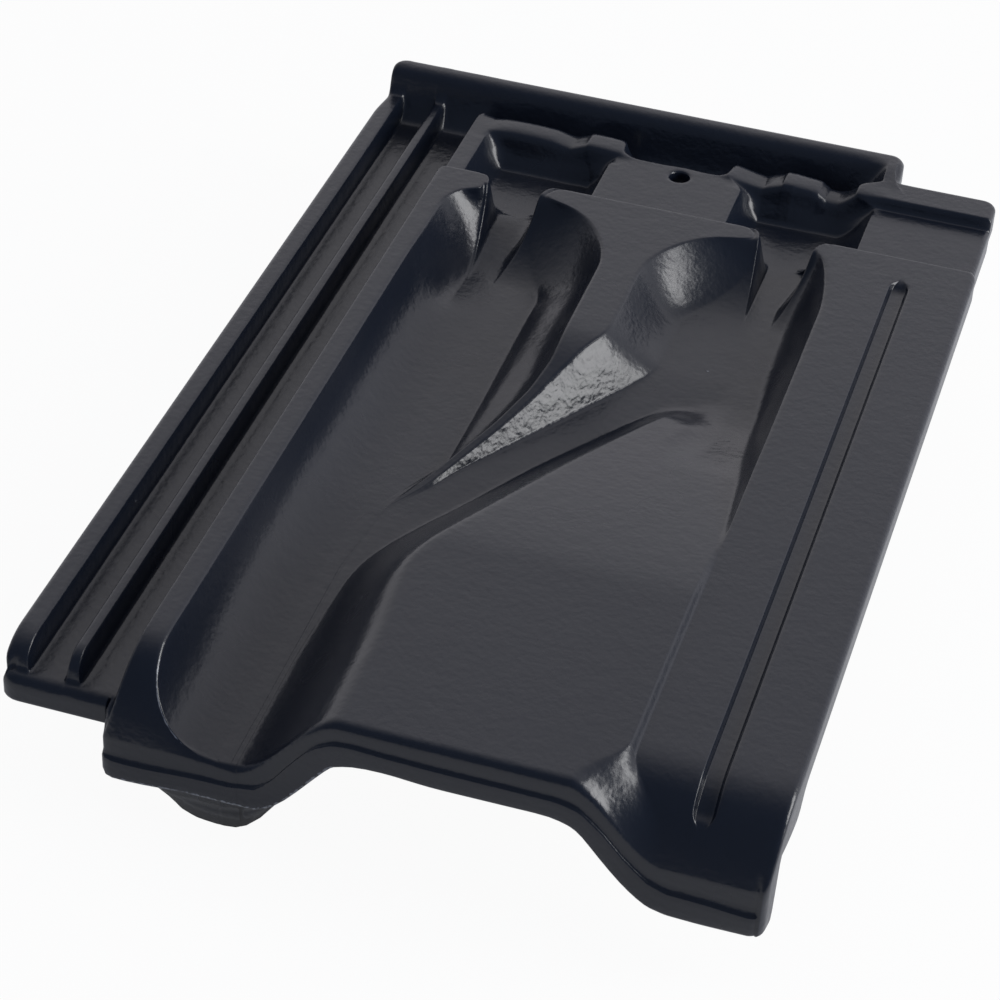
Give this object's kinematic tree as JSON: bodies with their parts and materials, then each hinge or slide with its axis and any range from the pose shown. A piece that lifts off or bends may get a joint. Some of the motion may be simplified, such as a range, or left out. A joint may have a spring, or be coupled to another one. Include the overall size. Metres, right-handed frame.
{
  "type": "interlocking clay roof tile",
  "caption": "Pressed clay roof tile with troughs that merge into a raised front panel, a side lock, a head lock with pockets, and a nail hole; it hangs on a batten and covers its neighbours.",
  "frame": {"origin": "centre of the footprint, on the surface that the tile lies on", "axes": "+Y up the roof, from the front lip to the head; +Z out of the roof; +X across, from the side lock to the flap"},
  "size_m": [0.289, 0.444, 0.067],
  "materials": {
    "glazed_clay": "satin black glaze"
  },
  "bodies": {
    "root": {"roof_tile": "glazed_clay"}
  },
  "joints": []
}
